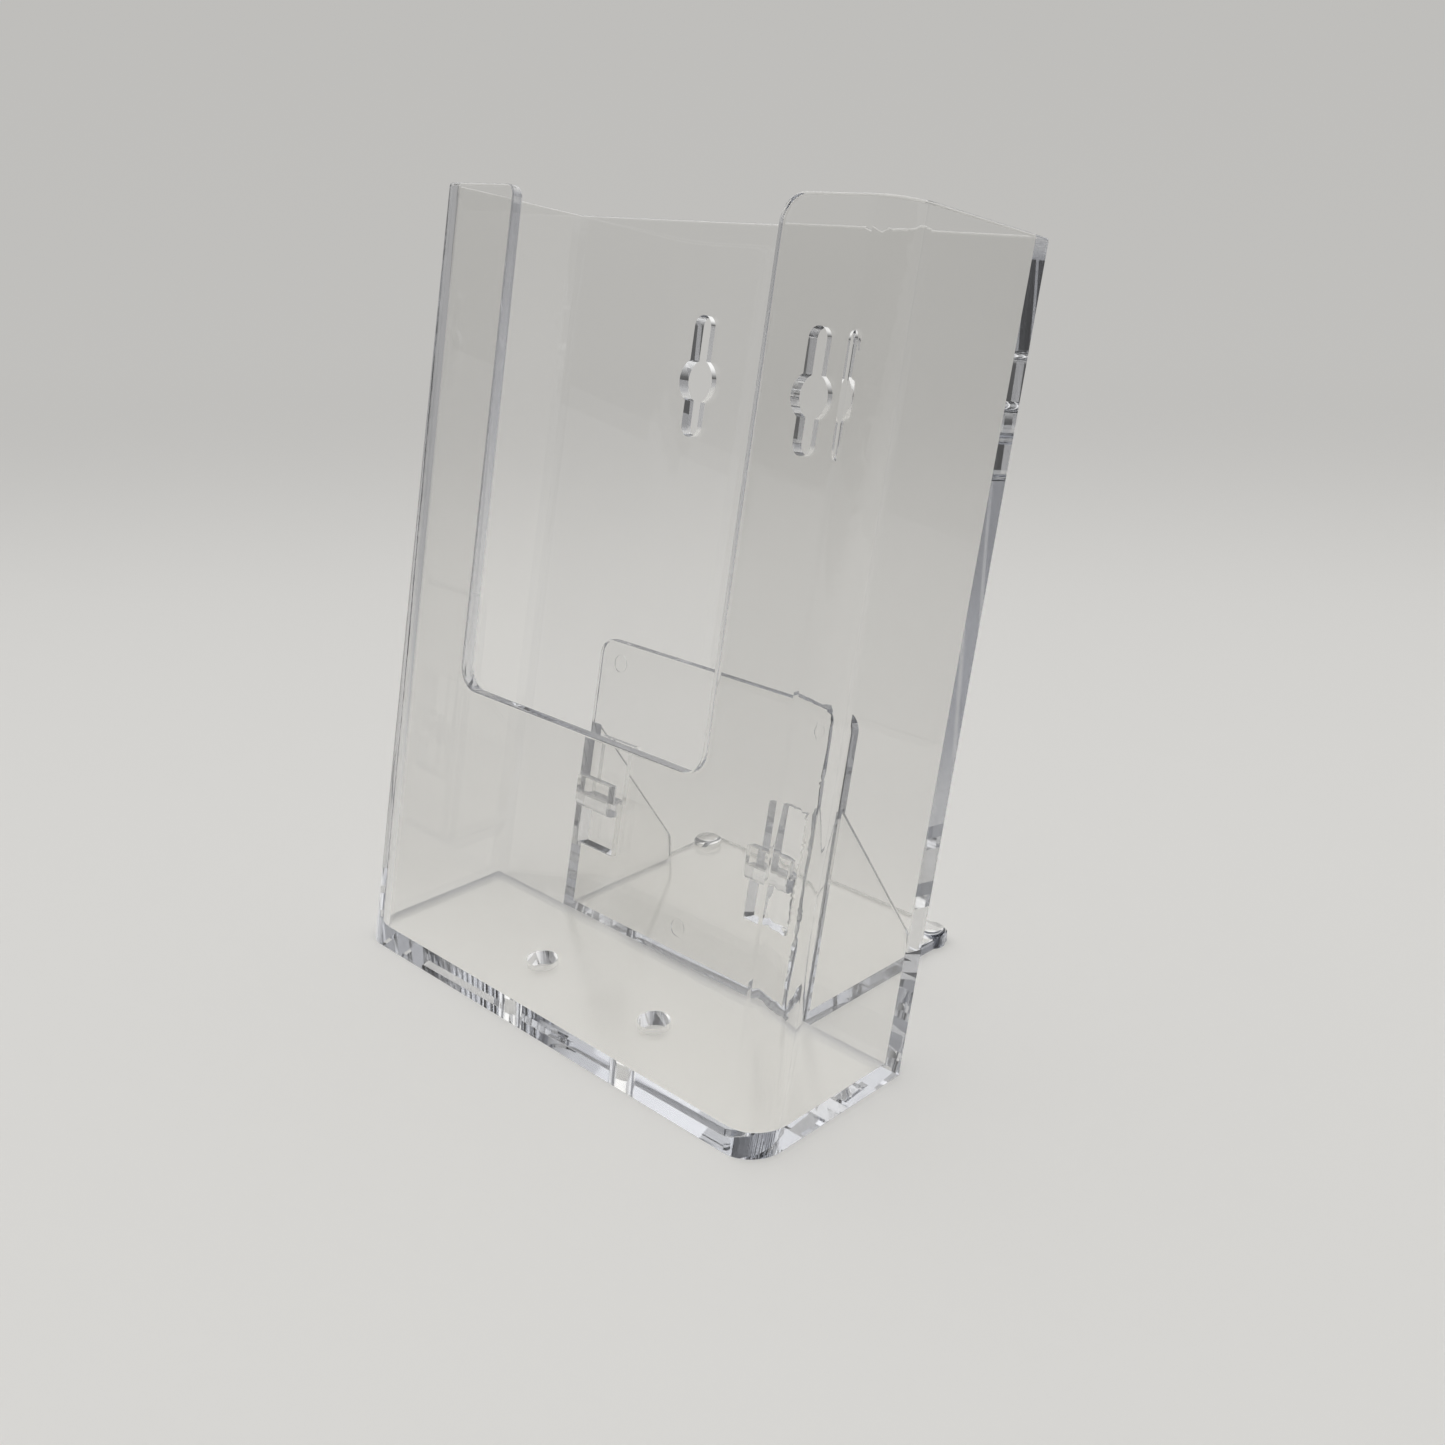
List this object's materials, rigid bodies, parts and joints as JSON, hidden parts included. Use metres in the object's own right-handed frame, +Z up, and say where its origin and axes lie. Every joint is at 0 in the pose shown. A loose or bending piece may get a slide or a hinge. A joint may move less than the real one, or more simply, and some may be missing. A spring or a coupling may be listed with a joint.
{
  "type": "leaflet holder",
  "caption": "Clear moulded counter-top leaflet holder: a leaning pocket with a U-shaped front cut-out, hooked onto an easel foot, with keyholes for a wall.",
  "frame": {"origin": "on the table, under the middle of the holder's bounding box", "axes": "+Z up, -Y out of the front with the U-shaped cut-out, +X to the right seen from the front"},
  "size_m": [0.11, 0.0814, 0.1438],
  "materials": {
    "clear_pocket": "polished clear polystyrene, moulded",
    "clear_easel": "polished clear polystyrene, moulded"
  },
  "bodies": {
    "easel": {"easel": "clear_easel"},
    "pocket": {"pocket": "clear_pocket"}
  },
  "joints": [
    {"name": "pocket_lift", "type": "slide", "parent": "easel", "child": "pocket", "axis": [0, 0.2079, 0.9781], "range_m": [0, 0.0079]}
  ]
}
